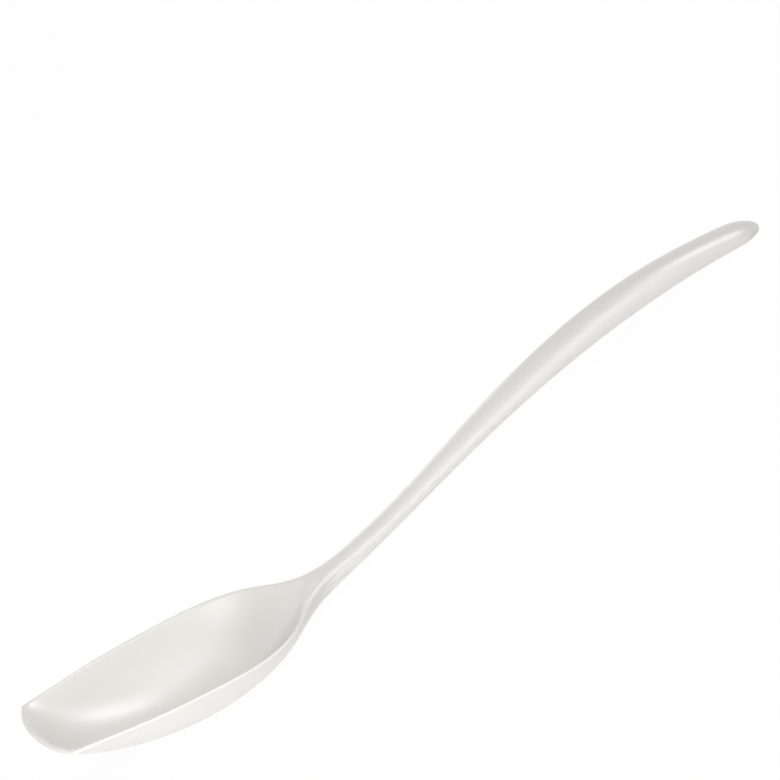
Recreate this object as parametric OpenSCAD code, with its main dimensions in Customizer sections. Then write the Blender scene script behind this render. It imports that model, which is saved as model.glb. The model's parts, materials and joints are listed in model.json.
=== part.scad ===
// Cooking spoon: a deep blunt-tipped bowl and a slim arched handle, in off-white melamine.
// It is drawn with its rim level, tip at the origin and handle along +X, and then laid down as it
// lies on a table: on the underside of the bowl and on the end of the handle.
// Two mouldings make it. The bowl carries a flat tang behind its neck, and the handle is pushed
// over the tang until the two end faces meet flush at the slimmest place.

/* [Overall] */
// Length from the tip of the bowl to the end of the handle, along the plane of the rim
spoon_l = 294; // [250:1:340]
// Length of the bowl, from its tip to the start of the neck
bowl_l = 106; // [92:1:120]

/* [Bowl] */
// Width of the bowl at its widest place, over the rim
bowl_w = 54; // [46:0.2:62]
// Width of the blunt tip, from corner to corner
tip_w = 41.2; // [34:0.2:46]
// Distance by which the middle of the tip stands ahead of its corners
tip_bow = 4.9; // [3:0.1:8]
// Depth of the bowl outside, from the edge of the rim to its underside
bowl_h = 19.1; // [16:0.1:24]
// Thickness of the bowl's floor
wall_t = 2.2; // [1.6:0.1:3]
// Width of the land on top of the rim
rim_land = 1.8; // [1.4:0.1:2.6]
// Rounding on the outer edge of the rim
rim_round = 0.8; // [0.5:0.1:1.2]

/* [Neck] */
// Width of the neck at its slimmest place
neck_w = 7.6; // [6.8:0.1:10]
// Depth of the neck below its side edges
neck_keel = 5.4; // [4.8:0.1:8]
// Thickness of the lip that carries the rim on along the neck
lip_t = 1.9; // [1.2:0.1:2.6]
// Distance by which that lip overhangs the neck's underside
lip_out = 1.8; // [0.8:0.1:2.4]

/* [Handle] */
// Width of the handle at its widest place
handle_w = 15; // [12:0.1:20]
// Height of the handle's crown above its side edges
handle_crown = 4.7; // [3.5:0.1:6.5]
// Depth of the handle below its side edges where it fills the hand
handle_keel = 5.3; // [4.3:0.1:7]
// Depth of the handle at its waist, between the neck and the hand
waist_keel = 4.5; // [4:0.1:6.5]
// Width of the handle just before its rounded end
end_w = 13.8; // [11:0.1:17]
// Height of the crown just before the rounded end
end_crown = 3.5; // [2.8:0.1:5.5]
// Depth of the handle just before the rounded end
end_keel = 2.5; // [1.8:0.1:4.5]
// Length of the rounded end
end_round = 11; // [7:0.5:16]

/* [Sweep] */
// Angle at which the neck climbs away from the plane of the rim
neck_rise = 21.4; // [14:0.2:28]
// Angle at which the end of the handle falls towards that plane
end_fall = 0.8; // [0:0.1:5]

/* [Seat of the handle] */
// Distance from the start of the neck to the faces where bowl and handle meet
seat_run = 12; // [8:0.5:18]
// Length of the tang behind those faces
tang_l = 18; // [12:0.5:24]
// Width of the tang
tang_w = 4.4; // [3.6:0.1:5.2]
// Thickness of the tang
tang_t = 2.8; // [2:0.1:3.6]
// Clearance round the tang in its socket, on each side
tang_fit = 0.1; // [0.05:0.05:0.3]
// Space left past the end of the tang
tang_room = 0.6; // [0.3:0.1:1.5]

/* [Hidden] */
$fn = 48;

// Off-white of the melamine
melamine = [0.93, 0.925, 0.905];

// Length over which one solid runs on into another before they are joined or cut
overrun = 1;
// Radius that rounds the underside of the tip, and length over which the hollow starts there
tip_round = 1.5;
soft_start = 0.8;

// Segments of the sections: across them and over the rim's land
across_n = 24;
land_n = 5;
// Segments along the spoon: round the tip, along the bowl, along the handle and round its end
tip_n = 4;
bowl_n = 62;
handle_n = 36;
end_n = 7;
// Segments of the profiles that find the table, and turns taken to lay the spoon down on it
profile_n = 60;
rest_turns = 6;

// Places along the bowl, and what part of the growth in width each place has reached
front_width_shares = [[0, 0], [0.113, 0.217], [0.283, 0.722], [0.509, 1]];
back_width_shares = [[0.717, 0.936], [0.849, 0.621], [0.934, 0.248], [1, 0.072], [1.066, 0.008], [1.17, 0]];
// Places along the handle behind the neck, and its growth in width from the neck to the hand
handle_width_shares = [[0.153, 0.122], [0.388, 0.716], [0.624, 1]];
end_width_share = [0.829, 0.385];
// Places along the bowl, and what part of its depth the underside has reached
front_depth_shares = [[0, 0.062], [0.094, 0.458], [0.236, 0.789], [0.491, 1]];
back_depth_shares = [[0.717, 0.738], [0.858, 0.416], [0.934, 0.268], [1.009, 0.132], [1.151, 0]];
// The same for the hollow towards the tip, where it starts from nothing
front_hollow_shares = [[0, 0], [0.094, 0.44], [0.236, 0.79], [0.491, 1]];
// Places along the handle of its waist and of its deepest line, and the steps from there to its end
waist_share = 0.22;
hand_share = 0.46;
end_depth_shares = [[0.682, 0.01], [0.859, 0.58]];
// Places where the crown grows, along the bowl and then along the handle
neck_crown_shares = [[0.906, 0], [1.057, 0.086], [1.208, 0.099]];
handle_crown_shares = [[0.27, 0.356], [0.506, 0.666], [0.741, 1]];
// Place along the bowl where the side edges start to bend up, and place along the handle where they
// climb most steeply and the arch begins
bend_share = 0.521;
climb_share = 0.288;
// Share of the handle, back from its end, that can touch the table
touch_share = 0.17;
// Places along the bowl between which its hollow runs out into the neck, and between which the
// edges of the hollow turn soft
hollow_shares = [0.7, 1.03];
soft_edge_shares = [0.82, 0.96];
// Places along the bowl between which the lip comes out, goes in again and thins away
lip_out_shares = [0.736, 0.887];
lip_in_shares = [0.925, 1.094];
lip_end_shares = [0.981, 1.19];
// Places along the bowl between which the underside turns from a bowl's into a shank's
shank_shares = [0.717, 1];
// Places along the bowl between which the flat top of the rim turns into the handle's round crown
crown_round_shares = [0.868, 1.189];
// Length over which the bow of the tip dies away, in bows
bow_reach = 4.2;
// How far the points across the top gather at its edges: 0 spaces them evenly, 1 as on a round
gather_share = 0.6;

// Exponents of the section: the bowl's underside, its hollow, the lip, the corners of the tip,
// and the blend between lip and shank, where a high one gives a tight fillet
under_power = 2.33;
hollow_power = 2.4;
lip_power = 6;
corner_power = 2.32;
fillet_power = 5;

// Place where the neck is slimmest, and place of the seat
neck_x = last(back_width_shares).x * bowl_l;
seat_x = bowl_l + seat_run;

function last(list) = list[len(list) - 1];
function mix(a, b, t) = a + (b - a) * t;

// Eased step from 0 to 1, and its running total, for places between a and b
function part_of(x, a, b) = max(0, min(1, (x - a) / (b - a)));
function step(x, a, b) = let (t = part_of(x, a, b)) t * t * (3 - 2 * t);
function step_sum(x, a, b) =
    let (t = part_of(x, a, b)) (b - a) * t * t * t * (1 - t / 2) + max(0, x - b);

// The same step between two places given as shares of the bowl's length
function bowl_step(x, shares) = step(x, shares[0] * bowl_l, shares[1] * bowl_l);

// A natural cubic spline through stations [place, value], with its bends worked out once
function spans(st) = [for (i = [0 : len(st) - 2]) st[i + 1].x - st[i].x];
function slopes(st, h) = [for (i = [0 : len(h) - 1]) (st[i + 1].y - st[i].y) / h[i]];
function forward(h, k, i = 1, before = [1, 0]) =
    i >= len(h) ? [] :
    let (
        carry = i == 1 ? 0 : h[i - 1] / before[0],
        divisor = 2 * (h[i - 1] + h[i]) - carry * h[i - 1],
        load = 6 * (k[i] - k[i - 1]) - carry * before[1]
    )
    concat([[divisor, load]], forward(h, k, i + 1, [divisor, load]));
function backward(h, f, i, after = 0) =
    i == 0 ? [0] :
    let (bend = (f[i - 1][1] - h[i] * after) / f[i - 1][0])
    concat(backward(h, f, i - 1, bend), [bend]);
function spline(st) =
    let (h = spans(st), f = forward(h, slopes(st, h)))
    [st, h, concat(backward(h, f, len(f)), [0])];
function at(curve, x) =
    let (
        st = curve[0],
        i = max(0, min(len(st) - 2, len([for (s = st) if (s.x <= x) s]) - 1)),
        h = curve[1][i],
        m = curve[2][i],
        n = curve[2][i + 1],
        a = st[i + 1].x - x,
        b = x - st[i].x
    )
    (m * a * a * a + n * b * b * b) / (6 * h)
        + (st[i].y / h - m * h / 6) * a
        + (st[i + 1].y / h - n * h / 6) * b;

// The curves that shape the spoon along its length
function on_bowl(shares, from, to) = [for (s = shares) [s.x * bowl_l, mix(from, to, s.y)]];
function on_handle(shares, from, to) = [for (s = shares) [mix(neck_x, spoon_l, s.x), mix(from, to, s.y)]];
half_width = spline(concat(
    on_bowl(front_width_shares, tip_w / 2, bowl_w / 2),
    on_bowl(back_width_shares, neck_w / 2, bowl_w / 2),
    on_handle(handle_width_shares, neck_w / 2, handle_w / 2),
    on_handle([end_width_share], handle_w / 2, end_w / 2),
    [[spoon_l, end_w / 2]]));
depth = spline(concat(
    on_bowl(front_depth_shares, 0, bowl_h),
    on_bowl(back_depth_shares, neck_keel, bowl_h),
    [[mix(neck_x, spoon_l, waist_share), waist_keel]],
    [[mix(neck_x, spoon_l, hand_share), handle_keel]],
    on_handle(end_depth_shares, handle_keel, end_keel),
    [[spoon_l, end_keel]]));
hollow = spline(concat(
    on_bowl(front_hollow_shares, 0, bowl_h - wall_t + rim_round),
    on_bowl(back_depth_shares, neck_keel * (1 - wall_t / bowl_h) + rim_round, bowl_h - wall_t + rim_round)));
crown = spline(concat(
    on_bowl(neck_crown_shares, rim_round, handle_crown),
    on_handle(handle_crown_shares, rim_round, handle_crown),
    [[spoon_l, end_crown]]));

// The line of the side edges, seen from the side: level along the bowl, bent up at the neck and
// arched over along the handle
climb_x = mix(bowl_l, spoon_l, climb_share);
bend_x = bend_share * bowl_l;
function edge_z(x) =
    tan(neck_rise) * step_sum(x, bend_x, climb_x)
        - (tan(neck_rise) + tan(end_fall)) * step_sum(x, climb_x, spoon_l);
function edge_angle(x) =
    atan(tan(neck_rise) * step(x, bend_x, climb_x)
        - (tan(neck_rise) + tan(end_fall)) * step(x, climb_x, spoon_l));

// Quarter-round run-out over a length r: 0 at its start, 1 past it
function quarter(d, r) = sqrt(max(0, 1 - pow(max(0, 1 - d / r), 2)));

// Half widths, heights and depths at place x, each closed by the rounded end
function width_at(x) = at(half_width, x) * quarter(spoon_l - x, end_round);
function crown_at(x) =
    (x < neck_crown_shares[0].x * bowl_l ? rim_round : at(crown, x)) * quarter(spoon_l - x, end_round);
function depth_at(x) = at(depth, x) * quarter(x, tip_round) * quarter(spoon_l - x, end_round);

// Depth of the hollow below the top of the rim, with a soft start at the tip
function hollow_at(x) =
    at(hollow, sqrt(x * x + soft_start * soft_start) - soft_start) * (1 - bowl_step(x, hollow_shares));

// Places across a section, from side to side
function sine_row(n) = [for (i = [0 : n]) sin(-90 + 180 * i / n)];
function even_row(n) = [for (i = [0 : n]) -1 + 2 * i / n];
under_row = sine_row(across_n);
top_row = mix(even_row(across_n), sine_row(across_n), gather_share);
// Places across the land, from its outer edge to its inner one
land_row = [for (i = [1 : land_n - 1]) (1 - cos(180 * i / land_n)) / 2];

// A point of the section, out from the middle by y: the bow of the tip carries it back towards the
// corners, and it can be lifted square to the line of the side edges
function bow_fade(x) = 1 - part_of(x, 0, bow_reach * tip_bow);
function bowed(x, y, half) =
    [x + tip_bow * pow(bow_fade(x), 3) * pow(abs(y / half), corner_power), y, edge_z(x)];
function lifted(p, angle, up) = p + up * [-sin(angle), 0, cos(angle)];

// Depth of the underside at v, from -1 to 1: the bowl or shank, blended with the lip
function under_at(x, v, half) =
    let (
        out = bowl_step(x, lip_out_shares),
        in = bowl_step(x, lip_in_shares),
        gone = bowl_step(x, lip_end_shares),
        shank = bowl_step(x, shank_shares),
        body_half = half - lip_out * out * (1 - in),
        r = min(1, abs(v) * half / body_half),
        body = depth_at(x) * pow(max(0, 1 - pow(r, mix(under_power, 2, shank))), mix(1, 1 / 2, shank)),
        lip = lip_t * out * (1 - gone) * sqrt(max(0, 1 - pow(abs(v), lip_power)))
    )
    pow(pow(body, fillet_power) + pow(lip, fillet_power), 1 / fillet_power);

// Height of the rim's land and of the crown at y: a quarter round at each side, level between
function crown_height(x, y, half, round) =
    crown_at(x) * sqrt(max(0, 1 - pow(part_of(abs(y), half - round, half), 2)));

// How far the land falls towards the hollow at a distance out from its inner edge: an arc of the
// rim's round, reaching so far over the land
function land_fall(reach, out) =
    let (past = max(0, reach - max(0, out)))
    rim_round - sqrt(rim_round * rim_round - past * past);

// One closed section: underside from left to right, land, top from right to left, land
function section(x) =
    let (
        half = width_at(x),
        angle = edge_angle(x),
        round = min(half, mix(rim_round, half, bowl_step(x, crown_round_shares))),
        inner = half - min(rim_land, half / 2),
        inner_x = x + rim_land * bow_fade(x),
        soft = bowl_step(x, soft_edge_shares),
        reach = rim_round * sin(atan(hollow_power * hollow_at(x) * (1 - soft) / inner)),
        drop = land_fall(reach, 0),
        out_edge = [for (side = [-1, 1]) bowed(x, side * half, half)],
        in_edge = [for (side = [-1, 1]) bowed(inner_x, side * inner, half)],
        under = [for (v = under_row) lifted(bowed(x, v * half, half), angle, -under_at(x, v, half))],
        land = [for (k = [0, 1]) [for (t = land_row)
            let (p = mix(out_edge[k], in_edge[k], t))
            lifted(p, angle, crown_height(x, p.y, half, round) - land_fall(reach, abs(p.y) - inner))]],
        top = [for (v = top_row)
            let (y = v * inner, floor = 1 - pow(abs(v), hollow_power))
            lifted(bowed(inner_x, y, half), angle,
                crown_height(x, y, half, round) - drop - (hollow_at(x) - drop) * floor * mix(1, floor, soft))]
    )
    concat(under, land[1], reverse(top), reverse(land[0]));
function reverse(list) = [for (i = [len(list) - 1 : -1 : 0]) list[i]];

// The tip of the rim: rows of points from the outer edge of the first section to its inner edge
function tip_rows(first) =
    let (
        n = across_n,
        ring = len(first),
        under = [for (j = [0 : n]) first[j]],
        top = [for (j = [0 : n]) first[n + land_n - 1 + n - j + 1]]
    )
    [for (k = [0 : land_n])
        k == 0 ? under :
        k == land_n ? top :
        [for (j = [0 : n])
            j == 0 ? first[ring - k] :
            j == n ? first[n + k] :
            let (p = mix(under[j], top[j], land_row[k - 1]))
            [p.x, p.y, rim_round * quarter(rim_land * land_row[k - 1], rim_round)]]];

// Faces of a sheet of points in rows, and of a skin over closed rings
function sheet_faces(rows, cols, start) =
    [for (i = [0 : rows - 2], j = [0 : cols - 2])
        let (p = start + i * cols + j)
        each [[p, p + 1, p + cols + 1], [p, p + cols + 1, p + cols]]];
function ring_faces(rings, n) =
    [for (i = [0 : rings - 2], j = [0 : n - 1])
        let (p = i * n, k = (j + 1) % n)
        each [[p + j, p + n + j, p + n + k], [p + j, p + n + k, p + k]]];
// Flat face over a ring: strips between its underside and its top, and a fan over each land
function face_strips(start) =
    let (n = across_n, ring = 2 * (n + land_n))
    concat(
        [for (j = [0 : n - 1])
            let (a = start + j, b = start + 2 * n + land_n - j)
            each [[a, a + 1, b - 1], [a, b - 1, b]]],
        [for (k = [0 : land_n - 2]) [start + n, start + n + k + 1, start + n + k + 2]],
        [for (k = [1 : land_n - 1]) [start, start + ring - k - 1, start + ring - k]]);
function flip(faces) = [for (f = faces) reverse(f)];

// Laying the spoon down: it turns until the underside of the bowl and that of the handle's end
// touch the table. A profile is the underside, at side -1, or the top, at side 1, along the middle.
function turned(p, angle) =
    [p.x * cos(angle) - p.z * sin(angle), p.y, p.x * sin(angle) + p.z * cos(angle)];
function profile(from, to, side) =
    [for (i = [0 : profile_n])
        let (x = mix(from, to, i / profile_n))
        lifted([x, 0, edge_z(x)], edge_angle(x), side > 0 ? crown_at(x) : -depth_at(x))];
function lowest(points, angle) =
    let (heights = [for (p = points) turned(p, angle).z])
    points[search(min(heights), heights)[0]];
bowl_profile = profile(0, bowl_l, -1);
end_profile = profile(mix(spoon_l, bowl_l, touch_share), spoon_l, -1);
function rest_angle(angle = 0, turns = rest_turns) =
    turns == 0 ? angle :
    let (a = lowest(bowl_profile, angle), b = lowest(end_profile, angle))
    rest_angle(-atan2(b.z - a.z, b.x - a.x), turns - 1);
rest = rest_angle();
all_x = [for (p = concat(bowl_profile, end_profile, profile(0, bowl_l, 1), profile(bowl_l, spoon_l, 1)))
    turned(p, rest).x];
table_z = turned(lowest(bowl_profile, rest), rest).z;
middle_x = (min(all_x) + max(all_x)) / 2;
module laid() {
    translate([-middle_x, 0, -table_z])
        rotate([0, -rest, 0])
            children();
}

// Places of the sections along the bowl and along the handle
bowl_places = concat(
    [for (i = [0 : tip_n - 1]) tip_round * (1 - cos(90 * i / tip_n))],
    [for (i = [0 : bowl_n]) mix(tip_round, seat_x, i / bowl_n)]);
handle_places = concat(
    [for (i = [0 : handle_n - 1]) mix(seat_x, spoon_l - end_round, i / handle_n)],
    [for (i = [0 : end_n - 1]) spoon_l - end_round * (1 - sin(90 * i / end_n))]);

// A flat bar with round edges, from the seat into the handle, sloped as the neck is halfway along it
module tang_bar(w, t, from, to) {
    middle = (crown_at(seat_x) - depth_at(seat_x)) / 2;
    translate(lifted([seat_x, 0, edge_z(seat_x)], edge_angle(seat_x), middle))
        rotate([0, 90 - edge_angle(seat_x + tang_l / 2), 0])
            translate([0, 0, from])
                linear_extrude(to - from)
                    union() {
                        square([t, w - t], center = true);
                        translate([0, (w - t) / 2])
                            circle(d = t);
                        translate([0, (t - w) / 2])
                            circle(d = t);
                    }
}

// The bowl: lofted from its tip, over its hollow and the lipped shoulders, to the neck's seat
module bowl_loft() {
    rings = [for (x = bowl_places) section(x)];
    n = len(rings[0]);
    tip = tip_rows(rings[0]);
    points = concat([for (r = rings) each r], [for (r = tip) each r]);
    faces = concat(
        ring_faces(len(rings), n),
        flip(face_strips((len(rings) - 1) * n)),
        sheet_faces(len(tip), across_n + 1, len(rings) * n));
    polyhedron(points = points, faces = faces, convexity = 8);
}

module bowl() {
    color(melamine)
        laid() {
            bowl_loft();
            tang_bar(tang_w, tang_t, -overrun, tang_l);
        }
}

// The handle: lofted from the seat, through the waist and the crowned grip, to its rounded end
module handle_loft() {
    rings = [for (x = handle_places) section(x)];
    n = len(rings[0]);
    pole = len(rings) * n;
    last_ring = pole - n;
    points = concat([for (r = rings) each r], [[spoon_l, 0, edge_z(spoon_l)]]);
    faces = concat(
        ring_faces(len(rings), n),
        face_strips(0),
        [for (j = [0 : n - 1]) [last_ring + j, pole, last_ring + (j + 1) % n]]);
    polyhedron(points = points, faces = faces, convexity = 4);
}

module handle() {
    color(melamine)
        laid()
            difference() {
                handle_loft();
                tang_bar(tang_w + 2 * tang_fit, tang_t + 2 * tang_fit, -overrun, tang_l + tang_room);
            }
}

bowl();
handle();
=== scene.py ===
"""Off-white melamine cooking spoon, dressed for its portrait: a deep blunt-tipped bowl and a slim
arched handle, as smooth surfaces worked out from the sizes in the panel, on a white studio floor.

The spoon is drawn with its rim level, its tip at the origin and its handle along +X, and is then
laid down as it lies on a table: on the underside of the bowl and on the end of the handle."""
import json
import math

import bpy
import numpy as np
from mathutils import Matrix


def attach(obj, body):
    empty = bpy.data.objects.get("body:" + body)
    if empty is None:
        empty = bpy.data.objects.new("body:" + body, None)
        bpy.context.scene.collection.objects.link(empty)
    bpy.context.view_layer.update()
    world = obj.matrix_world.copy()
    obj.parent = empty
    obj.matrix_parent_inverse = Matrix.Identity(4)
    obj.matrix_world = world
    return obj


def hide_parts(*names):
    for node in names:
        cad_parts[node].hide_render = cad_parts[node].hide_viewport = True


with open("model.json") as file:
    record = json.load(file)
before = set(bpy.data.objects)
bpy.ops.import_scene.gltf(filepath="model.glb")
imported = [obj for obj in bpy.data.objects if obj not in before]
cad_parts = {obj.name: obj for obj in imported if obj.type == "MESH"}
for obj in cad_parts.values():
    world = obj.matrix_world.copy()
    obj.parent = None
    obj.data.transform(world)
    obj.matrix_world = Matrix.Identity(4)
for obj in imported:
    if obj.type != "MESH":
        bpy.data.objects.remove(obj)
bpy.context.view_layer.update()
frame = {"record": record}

bl_info = {
    "name": "Melamine cooking spoon",
    "version": (1, 0, 0),
    "blender": (4, 5, 0),
    "location": "View3D > Sidebar > Spoon",
    "description": "Makes a moulded cooking spoon and its studio from a few sizes and colours",
    "category": "Add Mesh",
}

FINISH_NAME = "moulded_{}"  # a slot's own finish, beside the plain one that the frame brings
SENSOR = 36.0  # width of the camera's sensor in millimetres

# Places along the bowl, as shares of its length, and how far the width, the depth, the hollow or
# the crown has come there from one named size to the next
FRONT_WIDTH_SHARES = ((0, 0), (0.113, 0.217), (0.283, 0.722), (0.509, 1))
BACK_WIDTH_SHARES = (
    (0.717, 0.936), (0.849, 0.621), (0.934, 0.248), (1, 0.072), (1.066, 0.008), (1.17, 0))
FRONT_DEPTH_SHARES = ((0, 0.062), (0.094, 0.458), (0.236, 0.789), (0.491, 1))
BACK_DEPTH_SHARES = ((0.717, 0.738), (0.858, 0.416), (0.934, 0.268), (1.009, 0.132), (1.151, 0))
FRONT_HOLLOW_SHARES = ((0, 0), (0.094, 0.44), (0.236, 0.79), (0.491, 1))
NECK_CROWN_SHARES = ((0.906, 0), (1.057, 0.086), (1.208, 0.099))
# The same along the handle, from the slimmest place of the neck to the end
HANDLE_WIDTH_SHARES = ((0.153, 0.122), (0.388, 0.716), (0.624, 1))
END_WIDTH_SHARE = (0.829, 0.385)
WAIST_SHARE = 0.22
HAND_SHARE = 0.46
END_DEPTH_SHARES = ((0.682, 0.01), (0.859, 0.58))
HANDLE_CROWN_SHARES = ((0.27, 0.356), (0.506, 0.666), (0.741, 1))
# Where the side edges start to bend up, and where they climb most steeply
BEND_SHARE = 0.521
CLIMB_SHARE = 0.288
# Places along the bowl between which its hollow runs out, the hollow's edge softens, the lip comes
# out, goes in again and thins away, the underside turns into a shank's, and the flat rim turns
# into a round crown
HOLLOW_SHARES = (0.7, 1.03)
SOFT_EDGE_SHARES = (0.82, 0.96)
LIP_OUT_SHARES = (0.736, 0.887)
LIP_IN_SHARES = (0.925, 1.094)
LIP_END_SHARES = (0.981, 1.19)
SHANK_SHARES = (0.717, 1)
CROWN_ROUND_SHARES = (0.868, 1.189)
BOW_REACH = 4.2  # length over which the bow of the tip dies away, in bows
SOFT_START = 0.0008  # length over which the hollow starts at the tip, in metres
GATHER_SHARE = 0.6  # how far the points across the top gather at its edges
HEEL_SHARE = 0.8  # past it, from the bowl to the end, the handle's underside may touch the table

# Exponents: of the section's underside, its hollow and its lip, of the bow of the tip, and of the
# mean that joins the lip to the underside
UNDER_POWER = 2.33
HOLLOW_POWER = 2.4
LIP_POWER = 6
CORNER_POWER = 2.32
FILLET_POWER = 5

# Soft boxes of the studio: name, azimuth and elevation in degrees, side and distance in metres,
# and watts
SOFT_BOXES = (
    ("end_box", -95, 45, 0.8, 2.6, 13.3),
    ("small_end_box", -112, 45, 0.35, 1.6, 2.45),
    ("high_box", -60, 65, 0.7, 1.6, 4.3),
    ("front_box", -36, 45, 0.7, 2.2, 3.9),
    ("low_front_box", 60, 8, 0.7, 1.6, 11.3),
    ("tip_box", 150, 25, 0.7, 1.6, 2.6),
    ("back_box", -180, 8, 0.7, 1.6, 1.9),
    ("low_back_box", -150, 8, 0.7, 1.6, 0.5),
    ("near_front_box", 15, 25, 0.45, 0.75, 0.92),
    ("near_bowl_box", 30, 45, 0.3, 0.5, 0.86),
    ("near_low_box", 45, 28, 0.3, 0.5, 0.23),
)

WHITE = (1.0, 1.0, 1.0, 1.0)
NOISE_MIDDLE = 0.5  # value about which a noise wanders
CLOUD_LAYERS, RIPPLE_LAYERS, GRAIN_LAYERS = 3.0, 1.0, 2.0  # finer layers in each noise
LAYER_STRENGTH = 0.5  # of each layer of a noise, as a share of the one before
GRAIN_HEIGHT_SHARE = 0.25  # height of the grain, as a share of the ripples'
MIX_INPUTS, MIX_OUTPUT = (6, 7), 2  # where a Mix node has its two colours, and their mix
FLOOR_GRAIN = 60.0  # patches of the floor's polish in a metre
FLOOR_LAYERS = 2.0
FLOOR_ROUGHNESS, FLOOR_SPREAD = 0.85, 0.1

SHARP_ANGLE = math.radians(50)  # edges that turn more than this stay crisp
PROFILE_STEPS = 400  # points of the profiles that find the table
REST_TURNS = 8  # turns taken to lay the spoon down
TINY = 1e-9  # keeps zero out of divisions


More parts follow.
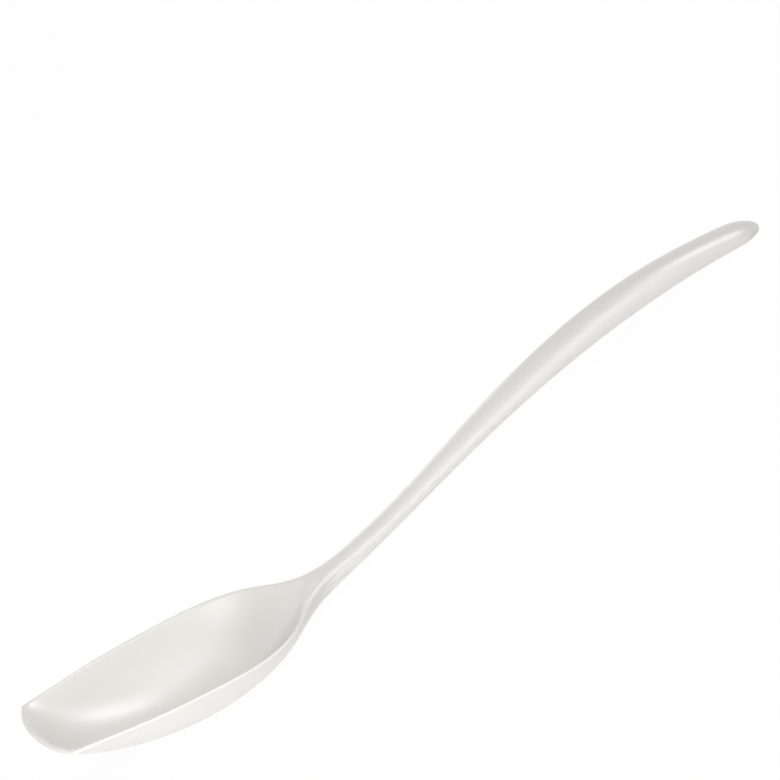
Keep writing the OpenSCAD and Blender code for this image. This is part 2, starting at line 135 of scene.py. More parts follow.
class SpoonSizes(bpy.types.PropertyGroup):
    """Sizes of the spoon, in metres, as its mould would be drawn."""

    spoon_length: bpy.props.FloatProperty(
        name="Spoon length",
        description="From the bowl's tip to the handle's end, along the rim's plane",
        default=0.294, min=0.2, max=0.4, unit="LENGTH", subtype="DISTANCE")
    bowl_length: bpy.props.FloatProperty(
        name="Bowl length", description="From the tip to the start of the neck",
        default=0.106, min=0.08, max=0.14, unit="LENGTH", subtype="DISTANCE")
    bowl_width: bpy.props.FloatProperty(
        name="Bowl width", description="At the widest place, over the rim",
        default=0.054, min=0.04, max=0.07, unit="LENGTH", subtype="DISTANCE")
    bowl_depth: bpy.props.FloatProperty(
        name="Bowl depth", description="Outside, from the edge of the rim to the underside",
        default=0.0191, min=0.012, max=0.03, unit="LENGTH", subtype="DISTANCE")
    tip_width: bpy.props.FloatProperty(
        name="Tip width", description="From corner to corner of the blunt tip",
        default=0.0412, min=0.03, max=0.05, unit="LENGTH", subtype="DISTANCE")
    tip_bow: bpy.props.FloatProperty(
        name="Tip bow", description="How far the middle of the tip stands ahead of its corners",
        default=0.0049, min=0.002, max=0.012, unit="LENGTH", subtype="DISTANCE")
    tip_round: bpy.props.FloatProperty(
        name="Tip round", description="Radius that rounds the underside of the tip",
        default=0.0015, min=0.0005, max=0.003, unit="LENGTH", subtype="DISTANCE")
    wall: bpy.props.FloatProperty(
        name="Wall", description="Thickness of the bowl's floor",
        default=0.0022, min=0.0012, max=0.004, unit="LENGTH", subtype="DISTANCE")
    rim_land: bpy.props.FloatProperty(
        name="Rim land", description="Width of the land on top of the rim",
        default=0.0018, min=0.001, max=0.003, unit="LENGTH", subtype="DISTANCE")
    tip_land: bpy.props.FloatProperty(
        name="Tip land", description="Width of that land in the middle of the tip",
        default=0.0009, min=0.0005, max=0.003, unit="LENGTH", subtype="DISTANCE")
    rim_round: bpy.props.FloatProperty(
        name="Rim round", description="Rounding on the outer edge of the rim",
        default=0.0008, min=0.0003, max=0.0015, unit="LENGTH", subtype="DISTANCE")
    land_round: bpy.props.FloatProperty(
        name="Land round", description="Radius at which the land falls towards the hollow",
        default=0.0018, min=0.0003, max=0.002, unit="LENGTH", subtype="DISTANCE")
    neck_width: bpy.props.FloatProperty(
        name="Neck width", description="At the slimmest place",
        default=0.0076, min=0.006, max=0.014, unit="LENGTH", subtype="DISTANCE")
    neck_depth: bpy.props.FloatProperty(
        name="Neck depth", description="Below the side edges",
        default=0.0054, min=0.004, max=0.01, unit="LENGTH", subtype="DISTANCE")
    lip_thickness: bpy.props.FloatProperty(
        name="Lip thickness", description="Of the lip that carries the rim on along the neck",
        default=0.0019, min=0.001, max=0.003, unit="LENGTH", subtype="DISTANCE")
    lip_overhang: bpy.props.FloatProperty(
        name="Lip overhang", description="How far that lip overhangs the neck's underside",
        default=0.0018, min=0.0005, max=0.003, unit="LENGTH", subtype="DISTANCE")
    handle_width: bpy.props.FloatProperty(
        name="Handle width", description="At the widest place",
        default=0.015, min=0.012, max=0.024, unit="LENGTH", subtype="DISTANCE")
    handle_crown: bpy.props.FloatProperty(
        name="Handle crown", description="Height of the crown above the side edges",
        default=0.0047, min=0.003, max=0.008, unit="LENGTH", subtype="DISTANCE")
    handle_depth: bpy.props.FloatProperty(
        name="Handle depth", description="Below the side edges, where it fills the hand",
        default=0.0053, min=0.004, max=0.009, unit="LENGTH", subtype="DISTANCE")
    waist_depth: bpy.props.FloatProperty(
        name="Waist depth", description="Below the side edges, between the neck and the hand",
        default=0.0045, min=0.004, max=0.009, unit="LENGTH", subtype="DISTANCE")
    end_width: bpy.props.FloatProperty(
        name="End width", description="Just before the rounded end",
        default=0.0138, min=0.01, max=0.02, unit="LENGTH", subtype="DISTANCE")
    end_crown: bpy.props.FloatProperty(
        name="End crown", description="Height of the crown just before the rounded end",
        default=0.0035, min=0.002, max=0.007, unit="LENGTH", subtype="DISTANCE")
    end_depth: bpy.props.FloatProperty(
        name="End depth", description="Below the side edges, just before the rounded end",
        default=0.0025, min=0.001, max=0.006, unit="LENGTH", subtype="DISTANCE")
    end_round: bpy.props.FloatProperty(
        name="End round", description="Length of the rounded end",
        default=0.011, min=0.006, max=0.018, unit="LENGTH", subtype="DISTANCE")
    neck_rise: bpy.props.FloatProperty(
        name="Neck rise", description="Angle at which the neck climbs away from the rim's plane",
        default=math.radians(21.4), min=0.1, max=0.6, unit="ROTATION", subtype="ANGLE")
    end_fall: bpy.props.FloatProperty(
        name="End fall", description="Angle at which the handle's end falls towards that plane",
        default=math.radians(0.8), min=0.0, max=0.2, unit="ROTATION", subtype="ANGLE")
    seat_run: bpy.props.FloatProperty(
        name="Seat",
        description="From the start of the neck to the faces where bowl and handle meet",
        default=0.012, min=0.006, max=0.02, unit="LENGTH", subtype="DISTANCE")
    tang_length: bpy.props.FloatProperty(
        name="Tang length", description="Of the bowl's tang behind those faces",
        default=0.018, min=0.01, max=0.026, unit="LENGTH", subtype="DISTANCE")
    tang_width: bpy.props.FloatProperty(
        name="Tang width", description="Of the bowl's flat tang",
        default=0.0044, min=0.003, max=0.006, unit="LENGTH", subtype="DISTANCE")
    tang_thickness: bpy.props.FloatProperty(
        name="Tang thickness", description="Of the bowl's flat tang",
        default=0.0028, min=0.002, max=0.004, unit="LENGTH", subtype="DISTANCE")
    tang_fit: bpy.props.FloatProperty(
        name="Tang fit", description="Clearance round the tang in its socket, on each side",
        default=0.0001, min=0.00005, max=0.0004, precision=5, unit="LENGTH", subtype="DISTANCE")
    tang_room: bpy.props.FloatProperty(
        name="Tang room", description="Space left past the end of the tang",
        default=0.0006, min=0.0002, max=0.002, unit="LENGTH", subtype="DISTANCE")


class SpoonDetail(bpy.types.PropertyGroup):
    """How finely the surfaces are divided."""

    across: bpy.props.IntProperty(
        name="Across", description="Faces across the underside, and across the top",
        default=88, min=24, max=160)
    land: bpy.props.IntProperty(
        name="Land", description="Faces over the rim's land", default=10, min=4, max=24)
    tip: bpy.props.IntProperty(
        name="Tip", description="Faces round the underside of the tip", default=8, min=3, max=24)
    bowl: bpy.props.IntProperty(
        name="Bowl", description="Faces along the bowl and its neck", default=190, min=60, max=320)
    handle: bpy.props.IntProperty(
        name="Handle", description="Faces along the handle", default=170, min=40, max=320)
    end: bpy.props.IntProperty(
        name="End", description="Faces round the handle's end", default=26, min=8, max=60)


class MelamineFinish(bpy.types.PropertyGroup):
    """Colour and surface of the moulded melamine."""

    colour: bpy.props.FloatVectorProperty(
        name="Colour", description="Off-white of the moulding compound, as linear light",
        default=(0.74, 0.729, 0.697), size=3, min=0.0, max=1.0, subtype="COLOR")
    cloud: bpy.props.FloatProperty(
        name="Clouding", description="How much paler and darker the compound's clouds are",
        default=0.02, min=0.0, max=0.2, subtype="FACTOR")
    cloud_size: bpy.props.FloatProperty(
        name="Cloud size", description="Width of one cloud",
        default=0.016, min=0.002, max=0.08, unit="LENGTH", subtype="DISTANCE")
    roughness: bpy.props.FloatProperty(
        name="Roughness", description="Of the polished mould face",
        default=0.3, min=0.05, max=0.8, subtype="FACTOR")
    roughness_spread: bpy.props.FloatProperty(
        name="Roughness spread", description="How far the roughness wanders",
        default=0.05, min=0.0, max=0.2, subtype="FACTOR")
    ripple_size: bpy.props.FloatProperty(
        name="Ripple size", description="Width of one ripple of the mould face",
        default=0.004, min=0.0005, max=0.02, unit="LENGTH", subtype="DISTANCE")
    ripple_height: bpy.props.FloatProperty(
        name="Ripple height", description="Height of those ripples",
        default=0.000004, min=0.0, max=0.0001, precision=6, unit="LENGTH", subtype="DISTANCE")
    grain_size: bpy.props.FloatProperty(
        name="Grain size", description="Width of one grain of the mould face's fine texture",
        default=0.0006, min=0.0001, max=0.004, unit="LENGTH", subtype="DISTANCE")
    refraction: bpy.props.FloatProperty(
        name="Refraction", description="Index of refraction of cured melamine",
        default=1.55, min=1.3, max=1.9)


class StudioLook(bpy.types.PropertyGroup):
    """Floor, light and camera."""

    floor_colour: bpy.props.FloatVectorProperty(
        name="Floor", description="White of the floor, as linear light",
        default=(0.94, 0.94, 0.94), size=3, min=0.0, max=1.0, subtype="COLOR")
    floor_white: bpy.props.FloatProperty(
        name="Floor white", description="Share of plain white that the camera sees in the floor",
        default=0.97, min=0.0, max=1.0, subtype="FACTOR")
    floor_side: bpy.props.FloatProperty(
        name="Floor side", description="Length of one side of the floor",
        default=6.0, min=1.0, max=20.0, unit="LENGTH", subtype="DISTANCE")
    sky: bpy.props.FloatProperty(
        name="Sky", description="Strength of the even light all round",
        default=0.03, min=0.0, max=2.0, subtype="FACTOR")
    brightness: bpy.props.FloatProperty(
        name="Brightness", description="Of all the soft boxes, as a multiple of their own watts",
        default=1.0, min=0.0, max=4.0, subtype="FACTOR")
    azimuth: bpy.props.FloatProperty(
        name="Azimuth", description="Of the camera; at zero it looks along +Y",
        default=math.radians(13.253), min=-math.pi, max=math.pi, unit="ROTATION", subtype="ANGLE")
    elevation: bpy.props.FloatProperty(
        name="Elevation", description="Of the camera above the table",
        default=math.radians(31.015), min=-1.5, max=1.5, unit="ROTATION", subtype="ANGLE")
    roll: bpy.props.FloatProperty(
        name="Roll", description="Turn of the camera about its own line of sight",
        default=math.radians(33.99), min=-math.pi, max=math.pi, unit="ROTATION", subtype="ANGLE")
    aim: bpy.props.FloatVectorProperty(
        name="Aim", description="Point that the camera looks at",
        default=(0.01129, 0.0, 0.04625), size=3, unit="LENGTH", subtype="XYZ")
    distance: bpy.props.FloatProperty(
        name="Distance", description="From the camera to that point",
        default=1.3, min=0.3, max=5.0, unit="LENGTH", subtype="DISTANCE")
    focal: bpy.props.FloatProperty(
        name="Focal length", description="Of the lens, in millimetres",
        default=185.98, min=20.0, max=400.0)


def mix(a, b, t):
    """The value t of the way from a to b."""
    return a + (b - a) * t


def part_of(x, a, b):
    """How much of the way from a to b place x has come, kept between 0 and 1."""
    return np.clip((x - a) / (b - a), 0.0, 1.0)


def step(x, a, b):
    """Eased step from 0 at a to 1 at b: t squared times (3 - 2 t)."""
    t = part_of(x, a, b)
    return t * t * (3 - 2 * t)


def step_total(x, a, b):
    """Running total of that step: t cubed times (1 - t / 2), then a straight line."""
    t = part_of(x, a, b)
    return (b - a) * t**3 * (1 - t / 2) + np.maximum(0.0, x - b)


def quarter(d, r):
    """Quarter round over a length r: 0 at its start, 1 past it, and between them the root of
    1 - (1 - d / r) squared."""
    return np.sqrt(np.maximum(0.0, 1 - np.maximum(0.0, 1 - d / r)**2))


def natural_spline(stations):
    """A cubic spline through stations (place, value) that is straight at both ends. The bends at
    the inner stations solve the usual three-term equations, and a place x between two stations is
    read from the cubic that has their values and bends."""
    place, value = np.array(stations, float).T
    span = np.diff(place)
    slope = np.diff(value) / span
    inner = len(place) - 2
    system = np.diag(2 * (span[:-1] + span[1:]))
    system += np.diag(span[1:-1], 1) + np.diag(span[1:-1], -1)
    bend = np.zeros(inner + 2)
    bend[1:-1] = np.linalg.solve(system, 6 * np.diff(slope))

    def read(x):
        i = np.clip(np.searchsorted(place, x, side="right") - 1, 0, inner)
        h, a, b = span[i], place[i + 1] - x, x - place[i]
        return ((bend[i] * a**3 + bend[i + 1] * b**3) / (6 * h)
                + (value[i] / h - bend[i] * h / 6) * a
                + (value[i + 1] / h - bend[i + 1] * h / 6) * b)
    return read


class SpoonForm:
    """The lines that shape the spoon, worked out from its sizes."""

    def __init__(self, size):
        self.size = size
        self.neck_x = BACK_WIDTH_SHARES[-1][0] * size.bowl_length
        self.seat_x = size.bowl_length + size.seat_run
        self.half_width = natural_spline(
            self.on_bowl(FRONT_WIDTH_SHARES, size.tip_width / 2, size.bowl_width / 2)
            + self.on_bowl(BACK_WIDTH_SHARES, size.neck_width / 2, size.bowl_width / 2)
            + self.on_handle(HANDLE_WIDTH_SHARES, size.neck_width / 2, size.handle_width / 2)
            + self.on_handle([END_WIDTH_SHARE], size.handle_width / 2, size.end_width / 2)
            + [(size.spoon_length, size.end_width / 2)])
        self.depth = natural_spline(
            self.on_bowl(FRONT_DEPTH_SHARES, 0.0, size.bowl_depth)
            + self.on_bowl(BACK_DEPTH_SHARES, size.neck_depth, size.bowl_depth)
            + [(mix(self.neck_x, size.spoon_length, WAIST_SHARE), size.waist_depth),
               (mix(self.neck_x, size.spoon_length, HAND_SHARE), size.handle_depth)]
            + self.on_handle(END_DEPTH_SHARES, size.handle_depth, size.end_depth)
            + [(size.spoon_length, size.end_depth)])
        # the hollow takes the depth without its wall, counted from the top of the rim
        open_share = 1 - size.wall / size.bowl_depth
        deepest = size.bowl_depth * open_share + size.rim_round
        at_neck = size.neck_depth * open_share + size.rim_round
        self.hollow = natural_spline(
            self.on_bowl(FRONT_HOLLOW_SHARES, 0.0, deepest)
            + self.on_bowl(BACK_DEPTH_SHARES, at_neck, deepest))
        self.crown = natural_spline(
            self.on_bowl(NECK_CROWN_SHARES, size.rim_round, size.handle_crown)
            + self.on_handle(HANDLE_CROWN_SHARES, size.rim_round, size.handle_crown)
            + [(size.spoon_length, size.end_crown)])
        self.bend_x = BEND_SHARE * size.bowl_length
        self.climb_x = mix(size.bowl_length, size.spoon_length, CLIMB_SHARE)
        self.rest, self.middle_x, self.table_z = self.lay_down()

    def on_bowl(self, shares, low, high):
        """Stations along the bowl, from shares of its length and of the growth from low to high."""
        return [(place * self.size.bowl_length, mix(low, high, share)) for place, share in shares]

    def on_handle(self, shares, low, high):
        """Stations along the handle, counted from the slimmest place of the neck."""
        return [(mix(self.neck_x, self.size.spoon_length, place), mix(low, high, share))
                for place, share in shares]

    def bowl_step(self, x, shares):
        """The eased step between two places given as shares of the bowl's length."""
        return step(x, shares[0] * self.size.bowl_length, shares[1] * self.size.bowl_length)

    def edge_height(self, x):
        """Height of the side edges: level along the bowl, bent up at the neck, arched over along
        the handle. The slope is one eased step up less another down, so the height is the
        difference of their running totals."""
        rise, fall = math.tan(self.size.neck_rise), math.tan(self.size.end_fall)
        return (rise * step_total(x, self.bend_x, self.climb_x)
                - (rise + fall) * step_total(x, self.climb_x, self.size.spoon_length))

    def edge_angle(self, x):
        """Angle of the side edges, from the slope of that line."""
        rise, fall = math.tan(self.size.neck_rise), math.tan(self.size.end_fall)
        return np.arctan(rise * step(x, self.bend_x, self.climb_x)
                         - (rise + fall) * step(x, self.climb_x, self.size.spoon_length))

    def end(self, x):
        """The rounded end of the handle: a quarter round that closes width, crown and depth."""
        return quarter(self.size.spoon_length - x, self.size.end_round)

    def width_at(self, x):
        """Half width over the side edges."""
        return self.half_width(x) * self.end(x)

    def crown_at(self, x):
        """Height of the top above the side edges: the rim's round as far as the neck."""
        flat = x < NECK_CROWN_SHARES[0][0] * self.size.bowl_length
        return np.where(flat, self.size.rim_round, self.crown(x)) * self.end(x)

    def depth_at(self, x):
        """Depth of the underside below the side edges."""
        return self.depth(x) * quarter(x, self.size.tip_round) * self.end(x)

    def hollow_at(self, x):
        """Depth of the hollow below the top of the rim: it starts softly at the tip, as the root
        of (x squared + a small length squared) does, and an eased step runs it out at the neck."""
        soft = np.sqrt(x**2 + SOFT_START**2) - SOFT_START
        return self.hollow(soft) * (1 - self.bowl_step(x, HOLLOW_SHARES))

    def bow_fade(self, x):
        """How much of the tip's shape is left at place x."""
        return 1 - part_of(x, 0.0, BOW_REACH * self.size.tip_bow)

    def bow_at(self, x):
        """Bow of the tip: how far back its corners lie, times the cube of how much is left."""
        return self.size.tip_bow * self.bow_fade(x)**3

    def bowed(self, x, y, half):
        """Points on the line of the side edges: place x, moved back by the bow times a power of
        y over the half width, and out by y."""
        shape = np.broadcast_shapes(np.shape(x), np.shape(y))
        points = np.empty(shape + (3,))
        points[..., 0] = x + self.bow_at(x) * np.abs(y / np.maximum(half, TINY))**CORNER_POWER
        points[..., 1] = y
        points[..., 2] = self.edge_height(x)
        return points

    @staticmethod
    def lifted(points, angle, up):
        """Those points lifted by up, square to the line of the side edges."""
        normal = np.stack([-np.sin(angle), np.zeros_like(angle), np.cos(angle)], -1)
        return points + np.asarray(up)[..., None] * normal

    def under_at(self, x, v, half):
        """Depth of the underside at v, from -1 to 1 across: the body's depth times
        (1 - r to the power q) to the power m, where q and m turn the bowl's round into a shank's
        half circle, joined to the lip's flat round by the fifth-power mean."""
        size = self.size
        out = self.bowl_step(x, LIP_OUT_SHARES)
        back = self.bowl_step(x, LIP_IN_SHARES)
        gone = self.bowl_step(x, LIP_END_SHARES)
        shank = self.bowl_step(x, SHANK_SHARES)
        body_half = half - size.lip_overhang * out * (1 - back)
        r = np.minimum(1.0, np.abs(v) * half / np.maximum(body_half, TINY))
        q, m = mix(UNDER_POWER, 2, shank), mix(1, 0.5, shank)
        body = self.depth_at(x) * np.maximum(0.0, 1 - r**q)**m
        flat_round = np.sqrt(np.maximum(0.0, 1 - np.abs(v)**LIP_POWER))
        lip = size.lip_thickness * out * (1 - gone) * flat_round
        return (body**FILLET_POWER + lip**FILLET_POWER)**(1 / FILLET_POWER)

    def crown_height(self, x, y, half):
        """Height of the rim's land and of the crown at y: a quarter round at each side, level
        between. The round is the rim's along the bowl and grows to the half width at the neck."""
        open_round = mix(self.size.rim_round, half, self.bowl_step(x, CROWN_ROUND_SHARES))
        rounding = np.minimum(half, open_round)
        part = part_of(np.abs(y), half - rounding, np.maximum(half, TINY))
        return self.crown_at(x) * np.sqrt(np.maximum(0.0, 1 - part**2))

    def rim_drop(self, x, y, half):
        """How far the land falls towards the hollow at y: an arc of radius r, turned until it is
        as steep as the hollow's edge, which is r - root of (r squared - reach squared) deep."""
        inner, r = self.inner_at(half), self.size.land_round
        steep = HOLLOW_POWER * self.hollow_at(x) * (1 - self.bowl_step(x, SOFT_EDGE_SHARES))
        turn = np.arctan(steep / np.maximum(inner, TINY))
        reach = np.maximum(0.0, r * np.sin(turn) - np.maximum(0.0, np.abs(y) - inner))
        return r - np.sqrt(r**2 - reach**2)

    def inner_at(self, half):
        """Half width between the inner edges of the land."""
        return half - np.minimum(self.size.rim_land, half / 2)

    def sections(self, places, across, land):
        """Closed sections at the places, one row of points each: underside from left to right,
        the right land, the top from right to left, the left land. The hollow at v, from -1 to 1
        across, is its depth times 1 - v to its power, and that again where its edge softens. Near
        the tip the hollow starts further back, by the width of the tip's land."""
        x = np.asarray(places, float)[:, None]
        half, angle = self.width_at(x), self.edge_angle(x)
        spread = np.sin(np.linspace(-math.pi / 2, math.pi / 2, across + 1))[None, :]
        inner = self.inner_at(half)
        inner_x = x + self.size.tip_land * self.bow_fade(x)
        under = self.lifted(
            self.bowed(x, spread * half, half), angle, -self.under_at(x, spread, half))
        row = land_row(land)[None, :, None]
        lands = []
        for side in (-1, 1):
            outer_edge = self.bowed(x, side * half, half)
            inner_edge = self.bowed(inner_x, side * inner, half)
            line = mix(outer_edge, inner_edge, row)
            y = line[..., 1]
            up = self.crown_height(x, y, half) - self.rim_drop(x, y, half)
            lands.append(self.lifted(line, angle, up))
        v = mix(np.linspace(-1, 1, across + 1)[None, :], spread, GATHER_SHARE)
        drop = self.rim_drop(x, inner, half)
        floor = 1 - np.abs(v)**HOLLOW_POWER
        soft_edge = mix(1, floor, self.bowl_step(x, SOFT_EDGE_SHARES))
        pit = drop + (self.hollow_at(x) - drop) * floor * soft_edge
        y = v * inner
        up = self.crown_height(x, y, half) - pit
        top = self.lifted(self.bowed(inner_x, y, half), angle, up)
        return np.concatenate([under, lands[1], top[:, ::-1], lands[0][:, ::-1]], axis=1)

    def profile(self, start, stop, side):
        """Points along the middle of the underside, at side -1, or of the rim's level and the
        crown, at side 1."""
        x = np.linspace(start, stop, PROFILE_STEPS)
        middle = self.bowed(x, np.zeros_like(x), self.width_at(x))
        up = self.crown_at(x) if side > 0 else -self.depth_at(x)
        return self.lifted(middle, self.edge_angle(x), up)

    @staticmethod
    def turned(points, angle):
        """Points turned about Y by an angle: x cos - z sin, x sin + z cos."""
        x, y, z = np.moveaxis(points, -1, 0)
        return np.stack([x * math.cos(angle) - z * math.sin(angle), y,
                         x * math.sin(angle) + z * math.cos(angle)], -1)

    def lay_down(self):
        """Turns the spoon until the underside of its bowl and that of the handle's end touch the
        table. Gives the angle, the middle of its length and the height of the table."""
        size = self.size
        bowl = self.profile(0.0, size.bowl_length, -1)
        heel = mix(size.bowl_length, size.spoon_length, HEEL_SHARE)
        end = self.profile(heel, size.spoon_length, -1)
        tops = self.profile(0.0, size.spoon_length, 1)
        angle = 0.0
        for _ in range(REST_TURNS):
            low = [part[self.turned(part, angle)[:, 2].argmin()] for part in (bowl, end)]
            reach = low[1] - low[0]
            angle = -math.atan2(reach[2], reach[0])
        laid = self.turned(np.concatenate([bowl, end, tops]), angle)
        return angle, (laid[:, 0].min() + laid[:, 0].max()) / 2, laid[:, 2].min()

    def laid(self, points):
        """Points of the level spoon, moved to where they are when it lies on the table."""
        return self.turned(points, self.rest) - np.array([self.middle_x, 0.0, self.table_z])

    def seat_plane(self):
        """The seat's centre, the tang's direction, which is the neck's slope halfway along it, and
        the direction square to the neck's edges."""
        x = np.array(self.seat_x)
        angle = float(self.edge_angle(x))
        slope = float(self.edge_angle(x + self.size.tang_length / 2))
        along = np.array([math.cos(slope), 0.0, math.sin(slope)])
        up = np.array([-math.sin(angle), 0.0, math.cos(angle)])
        middle = (float(self.crown_at(x)) - float(self.depth_at(x))) / 2
        return np.array([self.seat_x, 0.0, float(self.edge_height(x))]) + up * middle, along, up

    def tang_rings(self, ring, fit, depths):
        """Rings of a flat bar with round edges at the depths behind the seat, one point for each
        point of the seat's own ring, on the same ray from the middle. On its flats the bar's
        reach is its half thickness over the sine, and on its rounds a cos + root of
        (r squared - a squared sin squared)."""
        centre, along, up = self.seat_plane()
        r = self.size.tang_thickness / 2 + fit
        a = (self.size.tang_width - self.size.tang_thickness) / 2
        turn = np.arctan2((ring - centre) @ up, ring[:, 1])
        c, s = np.abs(np.cos(turn)), np.abs(np.sin(turn))
        flat = r / np.maximum(s, TINY)
        rounded = a * c + np.sqrt(np.maximum(0.0, r**2 - (a * s)**2))
        reach = np.where(flat * c <= a, flat, rounded)
        side = np.array([0.0, 1.0, 0.0])
        out, rise = (reach * np.cos(turn))[:, None], (reach * np.sin(turn))[:, None]
        outline = centre + out * side + rise * up
        return np.stack([outline + along * d for d in depths])


def land_row(land):
    """Places across the land, from its outer edge to its inner one, gathered at both: 1 - cos."""
    return (1 - np.cos(np.linspace(0.0, math.pi, land + 1)[1:-1])) / 2


def sheet_faces(number):
    """Quads between the rows and columns of a grid of point numbers. They face the way that the
    columns' direction crossed with the rows' does."""
    corners = number[:-1, :-1], number[:-1, 1:], number[1:, 1:], number[1:, :-1]
    return np.stack(corners, -1).reshape(-1, 4)


def tube_faces(rings, count):
    """Quads of a row of rings, each joined round from its last point to its first."""
    number = np.arange(rings * count).reshape(rings, count)
    return sheet_faces(np.concatenate([number, number[:, :1]], axis=1))


def fan_faces(ring, pole):
    """Triangles from a ring of point numbers to a pole."""
    return np.stack([ring, np.roll(ring, -1), np.full_like(ring, pole)], -1)


def tip_sheet(first, across, land, size, total):
    """Closes the tip, between the underside, the lands and the top of the first section. Gives the
    points inside that sheet, whose height is the quarter round of the rim over the tip's land, and
    the grid of point numbers from its inner edge to its outer one, where total is the number of
    its first point."""
    under = first[1:across]
    top = first[across + land + 1:2 * across + land][::-1]
    share = land_row(land)[:, None, None]
    inside = mix(under[None], top[None], share)
    inside[..., 2] = size.rim_round * quarter(size.tip_land * share[..., 0], size.rim_round)
    number = np.empty((land + 1, across + 1), int)
    number[0] = np.arange(across + 1)
    number[-1] = np.arange(2 * across + land, across + land - 1, -1)
    number[1:-1, 0] = np.arange(len(first) - 1, len(first) - land, -1)
    number[1:-1, -1] = np.arange(across + 1, across + land)
    number[1:-1, 1:-1] = total + np.arange(inside[..., 0].size).reshape(inside.shape[:2])
    return inside.reshape(-1, 3), number[::-1]


def make_piece(name, points, faces, body, node, slot):
    """A smooth mesh object at the origin, with its place in its points, that rides on a body and
    stands for a CAD node. Faces is a list of arrays, each of quads or of triangles."""
    mesh = bpy.data.meshes.new(name)
    corners = np.concatenate([f.ravel() for f in faces]).astype(np.int32)
    counts = np.concatenate([np.full(len(f), f.shape[1]) for f in faces]).astype(np.int32)
    starts = np.concatenate([[0], np.cumsum(counts)[:-1]]).astype(np.int32)
    mesh.vertices.add(len(points))
    mesh.vertices.foreach_set("co", np.asarray(points, np.float32).ravel())
    mesh.loops.add(len(corners))
    mesh.loops.foreach_set("vertex_index", corners)
    mesh.polygons.add(len(counts))
    mesh.polygons.foreach_set("loop_start", starts)
    mesh.polygons.foreach_set("use_smooth", np.ones(len(counts), bool))
    mesh.update(calc_edges=True)
    mesh.validate()
    mesh.set_sharp_from_angle(angle=SHARP_ANGLE)
    piece = bpy.data.objects.new(name, mesh)
    bpy.context.scene.collection.objects.link(piece)
    mesh.materials.append(bpy.data.materials[FINISH_NAME.format(slot)])
    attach(piece, body)
    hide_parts(node)
    return piece


class Socket:
    """A value in a material's node tree. Arithmetic on it adds Math nodes."""

    def __init__(self, tree, link):
        self.tree = tree
        self.link = link

    def math(self, operation, *values):
        return self.tree.node("ShaderNodeMath", {"operation": operation}, *values)

    def __add__(self, other):
        return self.math("ADD", self, other)

    def __radd__(self, other):
        return self.math("ADD", other, self)

    def __sub__(self, other):
        return self.math("SUBTRACT", self, other)

    def __rsub__(self, other):
        return self.math("SUBTRACT", other, self)

    def __mul__(self, other):
        return self.math("MULTIPLY", self, other)

    def __rmul__(self, other):
        return self.math("MULTIPLY", other, self)


class Tree:
    """A node tree that is written as Python expressions."""

    def __init__(self, owner):
        owner.use_nodes = True
        self.nodes = owner.node_tree.nodes
        self.links = owner.node_tree.links
        self.nodes.clear()

    def node(self, kind, settings, *values, output=0, **named):
        """Adds a node: settings first, then values or links of its sockets, by order or by name
        with underscores for spaces. Gives its output as a Socket."""
        made = self.nodes.new(kind)
        for key, value in settings.items():
            setattr(made, key, value)
        for key, value in list(enumerate(values)) + list(named.items()):
            socket = made.inputs[key if isinstance(key, int) else key.replace("_", " ")]
            if isinstance(value, Socket):
                self.links.new(value.link, socket)
            else:
                socket.default_value = value
        return Socket(self, made.outputs[output]) if made.outputs else None


def make_melamine(slot, finish):
    """Moulded melamine: an off-white compound with faint clouds, a satin polish that wanders a
    little, and the slight ripple and fine grain of the mould face."""
    material = bpy.data.materials.new(FINISH_NAME.format(slot))
    tree = Tree(material)
    place = tree.node("ShaderNodeTexCoord", {}, output="Object")

    def wander(width, layers):
        """A noise with patches about so wide, and how far it lies from its middle."""
        noise = tree.node("ShaderNodeTexNoise", {"noise_dimensions": "3D"}, output="Fac",
                          Vector=place, Scale=1 / width, Detail=layers, Roughness=LAYER_STRENGTH)
        return noise, noise - NOISE_MIDDLE

    clouds, cloud_wander = wander(finish.cloud_size, CLOUD_LAYERS)
    _, ripple_wander = wander(finish.ripple_size, RIPPLE_LAYERS)
    _, grain_wander = wander(finish.grain_size, GRAIN_LAYERS)
    base = tree.node("ShaderNodeMix", {"data_type": "RGBA"}, output=MIX_OUTPUT, Factor=clouds)
    for number, strength in zip(MIX_INPUTS, (1 - finish.cloud, 1 + finish.cloud)):
        shade = tuple(min(1.0, c * strength) for c in finish.colour)
        base.link.node.inputs[number].default_value = shade + (1.0,)
    spread = finish.roughness_spread
    rough = finish.roughness + grain_wander * spread + cloud_wander * spread
    grain_height = finish.ripple_height * GRAIN_HEIGHT_SHARE
    height = ripple_wander * finish.ripple_height + grain_wander * grain_height
    bump = tree.node("ShaderNodeBump", {}, output="Normal", Strength=1.0, Distance=1.0,
                     Height=height)
    shader = tree.node("ShaderNodeBsdfPrincipled", {}, Base_Color=base, Roughness=rough,
                       Normal=bump, IOR=finish.refraction)
    tree.node("ShaderNodeOutputMaterial", {}, Surface=shader)
    return material


def white_to_camera(tree, shader, white, share):
    """A shader that shows share of plain white to the camera and in reflections, and is itself
    for all other light."""
    path = tree.node("ShaderNodeLightPath", {}).link.node.outputs
    names = "Is Camera Ray", "Is Glossy Ray", "Is Transmission Ray"
    rays = [Socket(tree, path[name]) for name in names]
    seen = tree.node("ShaderNodeMath", {"operation": "MINIMUM"}, rays[0] + rays[1] + rays[2], 1.0)
    return tree.node("ShaderNodeMixShader", {}, seen * share, shader, white)


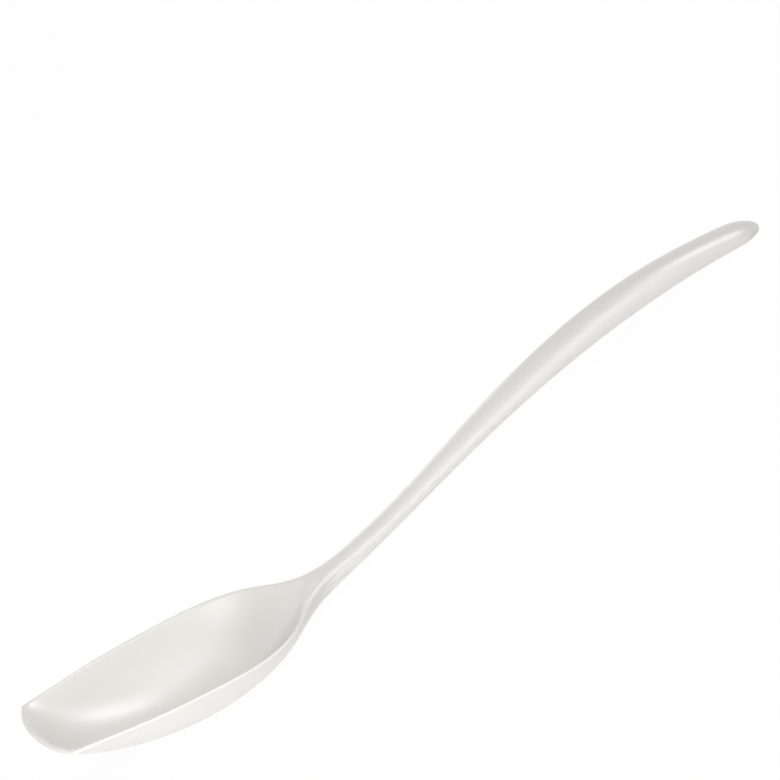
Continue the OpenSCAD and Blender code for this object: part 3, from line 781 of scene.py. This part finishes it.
def make_floor_material(look):
    """White matt floor that reads as plain white to the camera and keeps a faint shadow."""
    material = bpy.data.materials.new("studio_floor")
    tree = Tree(material)
    place = tree.node("ShaderNodeTexCoord", {}, output="Object")
    grain = tree.node("ShaderNodeTexNoise", {}, output="Fac", Vector=place, Scale=FLOOR_GRAIN,
                      Detail=FLOOR_LAYERS)
    matt = tree.node("ShaderNodeBsdfPrincipled", {}, Base_Color=tuple(look.floor_colour) + (1.0,),
                     Roughness=FLOOR_ROUGHNESS + (grain - NOISE_MIDDLE) * FLOOR_SPREAD)
    white = tree.node("ShaderNodeEmission", {}, Color=WHITE, Strength=1.0)
    surface = white_to_camera(tree, matt, white, look.floor_white)
    tree.node("ShaderNodeOutputMaterial", {}, Surface=surface)
    return material


def make_world(look):
    """Even soft light all round, plain white to the camera and in reflections."""
    world = bpy.data.worlds.new("studio_world")
    tree = Tree(world)
    soft = tree.node("ShaderNodeBackground", {}, Color=WHITE, Strength=look.sky)
    white = tree.node("ShaderNodeBackground", {}, Color=WHITE, Strength=1.0)
    tree.node("ShaderNodeOutputWorld", {}, Surface=white_to_camera(tree, soft, white, 1.0))
    return world


def look_matrix(azimuth, elevation, roll, aim, distance):
    """Matrix of a camera or lamp that looks at aim from an azimuth and elevation, rolled."""
    level = math.cos(elevation)
    back = np.array([-math.sin(azimuth) * level, -math.cos(azimuth) * level, math.sin(elevation)])
    right = np.array([math.cos(azimuth), -math.sin(azimuth), 0.0])
    up = np.cross(back, right)
    turned_right = math.cos(roll) * right - math.sin(roll) * up
    turned_up = math.sin(roll) * right + math.cos(roll) * up
    matrix = np.eye(4)
    matrix[:3, :3] = np.stack([turned_right, turned_up, back], axis=1)
    matrix[:3, 3] = np.asarray(aim) + distance * back
    return Matrix(matrix.tolist())


class SPOON_OT_melamine(bpy.types.Operator):
    """Make the melamine of the bowl and of the handle"""

    bl_idname = "spoon.melamine"
    bl_label = "Melamine"

    def execute(self, context):
        for material in frame["record"]["materials"]:
            make_melamine(material["slot"], context.scene.melamine_finish)
        return {"FINISHED"}


class SPOON_OT_bowl(bpy.types.Operator):
    """Make the bowl with its rim, its lipped neck and its tang"""

    bl_idname = "spoon.bowl"
    bl_label = "Bowl"

    def execute(self, context):
        size, detail = context.scene.spoon_sizes, context.scene.spoon_detail
        form = SpoonForm(size)
        nose = size.tip_round * (1 - np.cos(np.linspace(0.0, math.pi / 2, detail.tip + 1)))
        length = np.linspace(size.tip_round, form.seat_x, detail.bowl + 1)
        places = np.concatenate([nose[:-1], length])
        rings = form.sections(places, detail.across, detail.land)
        count = rings.shape[1]
        tang = form.tang_rings(rings[-1], 0.0, (0.0, size.tang_length))
        centre, along, _ = form.seat_plane()
        shell = np.concatenate([rings, tang])
        total = len(shell) * count
        tip, tip_numbers = tip_sheet(rings[0], detail.across, detail.land, size, total)
        pole = total + len(tip)
        tang_end = centre + along * size.tang_length
        points = np.concatenate([shell.reshape(-1, 3), tip, tang_end[None]])
        faces = [
            tube_faces(len(shell), count),
            sheet_faces(tip_numbers),
            fan_faces(np.arange(total - count, total), pole),
        ]
        make_piece("spoon_bowl", form.laid(points), faces, "root", "bowl", "bowl_melamine")
        return {"FINISHED"}


class SPOON_OT_handle(bpy.types.Operator):
    """Make the handle with its rounded end and the blind socket for the tang"""

    bl_idname = "spoon.handle"
    bl_label = "Handle"

    def execute(self, context):
        size, detail = context.scene.spoon_sizes, context.scene.spoon_detail
        form = SpoonForm(size)
        length = np.linspace(form.seat_x, size.spoon_length - size.end_round, detail.handle + 1)
        turn = np.linspace(0.0, math.pi / 2, detail.end + 1)
        cap = size.spoon_length - size.end_round * (1 - np.sin(turn))
        places = np.concatenate([length[:-1], cap[:-1]])
        rings = form.sections(places, detail.across, detail.land)
        count = rings.shape[1]
        depth = size.tang_length + size.tang_room
        socket = form.tang_rings(rings[0], size.tang_fit, (depth, 0.0))
        centre, along, _ = form.seat_plane()
        end_height = float(form.edge_height(np.array(size.spoon_length)))
        end = np.array([size.spoon_length, 0.0, end_height])
        socket_end = centre + along * depth
        shell = np.concatenate([socket, rings])
        points = np.concatenate([shell.reshape(-1, 3), end[None], socket_end[None]])
        total = len(shell) * count
        faces = [
            tube_faces(len(shell), count),
            fan_faces(np.arange(total - count, total), total),
            fan_faces(np.arange(count)[::-1], total + 1),
        ]
        make_piece("spoon_handle", form.laid(points), faces, "root", "handle", "handle_melamine")
        return {"FINISHED"}


class SPOON_OT_studio(bpy.types.Operator):
    """Make the floor, the soft light and the camera"""

    bl_idname = "spoon.studio"
    bl_label = "Studio"

    def execute(self, context):
        scene, look = context.scene, context.scene.studio_look
        scene.view_settings.view_transform = "Standard"
        scene.world = make_world(look)
        half = look.floor_side / 2
        corners = [(-half, -half, 0), (half, -half, 0), (half, half, 0), (-half, half, 0)]
        mesh = bpy.data.meshes.new("studio_floor")
        mesh.from_pydata(corners, [], [(0, 1, 2, 3)])
        mesh.materials.append(make_floor_material(look))
        floor = bpy.data.objects.new("studio_floor", mesh)
        scene.collection.objects.link(floor)
        for name, azimuth, elevation, side, distance, watts in SOFT_BOXES:
            lamp = bpy.data.lights.new(name, "AREA")
            lamp.shape = "SQUARE"
            lamp.size = side
            lamp.energy = watts * look.brightness
            box = bpy.data.objects.new(name, lamp)
            scene.collection.objects.link(box)
            box.matrix_world = look_matrix(math.radians(azimuth), math.radians(elevation), 0.0,
                                           (0, 0, 0), distance)
        camera = bpy.data.cameras.new("photo_camera")
        camera.sensor_width = SENSOR
        camera.lens = look.focal
        holder = bpy.data.objects.new("photo_camera", camera)
        scene.collection.objects.link(holder)
        holder.matrix_world = look_matrix(look.azimuth, look.elevation, look.roll, tuple(look.aim),
                                          look.distance)
        scene.camera = holder
        return {"FINISHED"}


class SPOON_PT_panel(bpy.types.Panel):
    """Sizes, finish and studio of the spoon, and the buttons that make each piece"""

    bl_idname = "SPOON_PT_panel"
    bl_label = "Cooking spoon"
    bl_space_type = "VIEW_3D"
    bl_region_type = "UI"
    bl_category = "Spoon"

    def draw(self, context):
        for title, group in (("Sizes", "spoon_sizes"), ("Detail", "spoon_detail"),
                             ("Melamine", "melamine_finish"), ("Studio", "studio_look")):
            box = self.layout.box()
            box.label(text=title)
            settings = getattr(context.scene, group)
            for key in settings.__annotations__:
                box.prop(settings, key)
        for maker in MAKERS:
            self.layout.operator(maker.bl_idname)


GROUPS = {
    "spoon_sizes": SpoonSizes,
    "spoon_detail": SpoonDetail,
    "melamine_finish": MelamineFinish,
    "studio_look": StudioLook,
}
MAKERS = (SPOON_OT_melamine, SPOON_OT_bowl, SPOON_OT_handle, SPOON_OT_studio)


def register():
    for cls in (*GROUPS.values(), *MAKERS, SPOON_PT_panel):
        bpy.utils.register_class(cls)
    for name, group in GROUPS.items():
        setattr(bpy.types.Scene, name, bpy.props.PointerProperty(type=group))


def unregister():
    for name in GROUPS:
        delattr(bpy.types.Scene, name)
    for cls in (SPOON_PT_panel, *reversed(MAKERS), *reversed(list(GROUPS.values()))):
        bpy.utils.unregister_class(cls)


def main():
    """Makes the finish, the bowl, the handle and the studio."""
    register()
    bpy.ops.spoon.melamine()
    bpy.ops.spoon.bowl()
    bpy.ops.spoon.handle()
    bpy.ops.spoon.studio()


if __name__ == "__main__":
    main()
